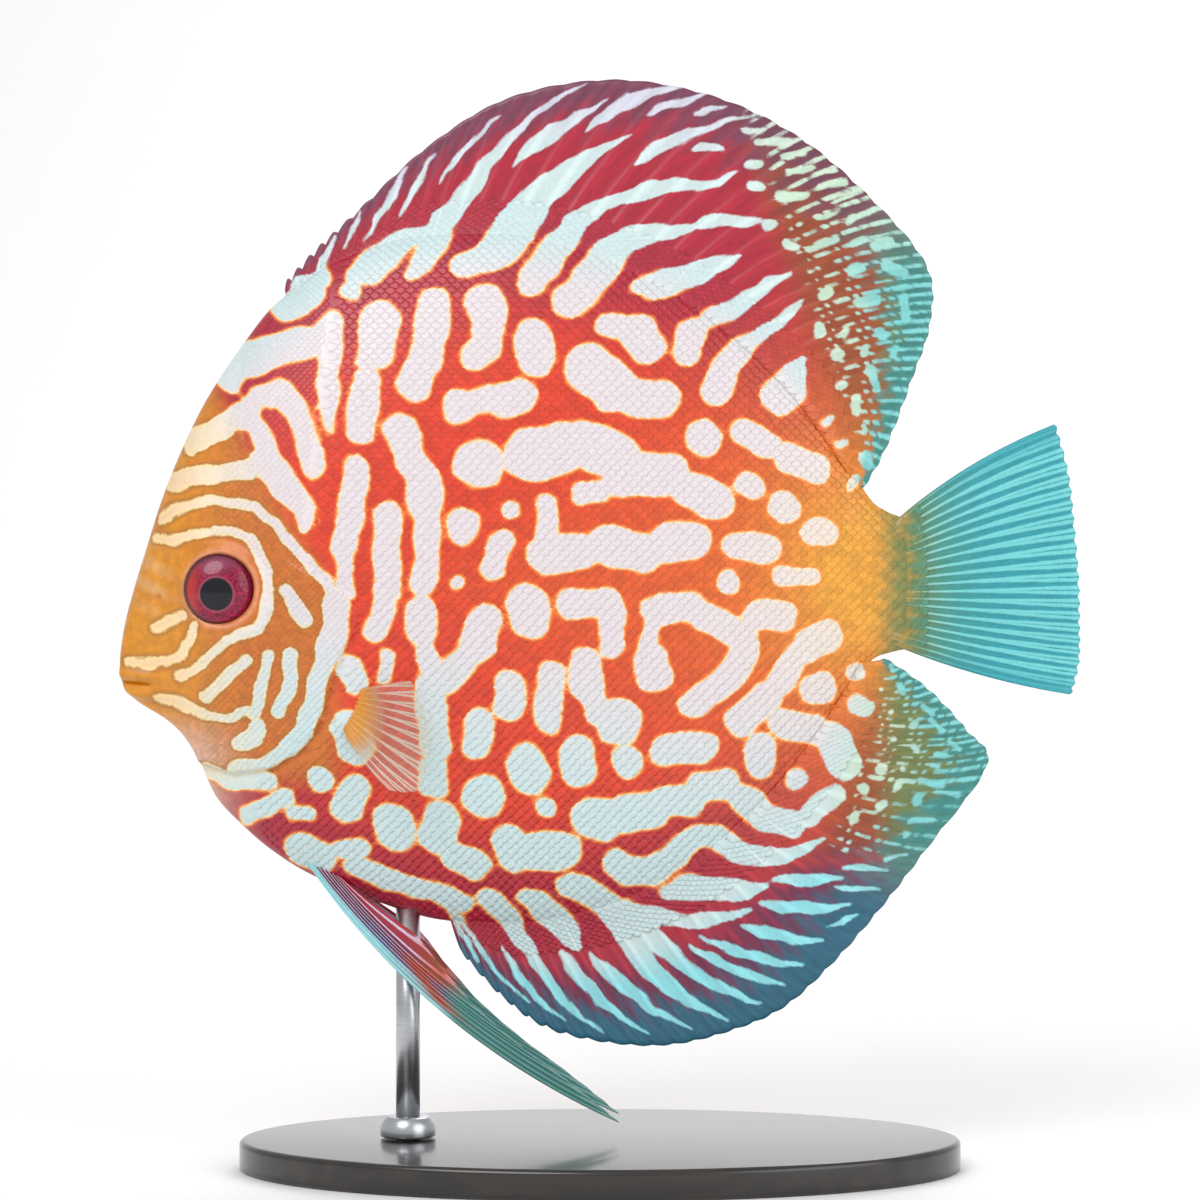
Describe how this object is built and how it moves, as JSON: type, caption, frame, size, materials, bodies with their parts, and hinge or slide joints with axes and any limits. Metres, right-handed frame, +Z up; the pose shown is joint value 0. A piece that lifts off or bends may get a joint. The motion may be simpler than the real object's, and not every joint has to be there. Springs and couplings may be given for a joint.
{
  "type": "discus fish display model",
  "caption": "Life-size still model of a discus fish, a tall flat disc-shaped aquarium fish with rayed fins, held over an oval base by one short rod.",
  "frame": {"origin": "middle of the stand base's underside, on the surface that it stands on", "axes": "+Z up, +X from the snout towards the tail, -Y the fish's left side, which the picture shows"},
  "size_m": [0.1601, 0.0676, 0.1813],
  "materials": {
    "skin": "wet scaled skin, orange-red with pale islands",
    "fin": "thin rayed membrane, crimson with pale blue bands",
    "tail_fin": "thin rayed membrane, turquoise",
    "clear_fin": "almost clear rayed membrane",
    "eye": "clear wet dome over a red iris",
    "stand_base": "black lacquered wood, satin",
    "stand_metal": "brushed steel"
  },
  "bodies": {
    "root": {"head": "skin", "trunk": "skin", "tail_root": "skin", "gill_cover_left": "skin", "gill_cover_right": "skin", "dorsal_fin_front": "fin", "dorsal_fin_rear": "fin", "anal_fin_front": "fin", "anal_fin_rear": "fin", "tail_fin": "tail_fin", "pelvic_fin_left": "fin", "pelvic_fin_right": "fin", "pectoral_fin_left": "clear_fin", "pectoral_fin_right": "clear_fin", "eye_left": "eye", "eye_right": "eye", "stand_base": "stand_base", "stand_collar": "stand_metal", "stand_rod": "stand_metal"}
  },
  "joints": []
}
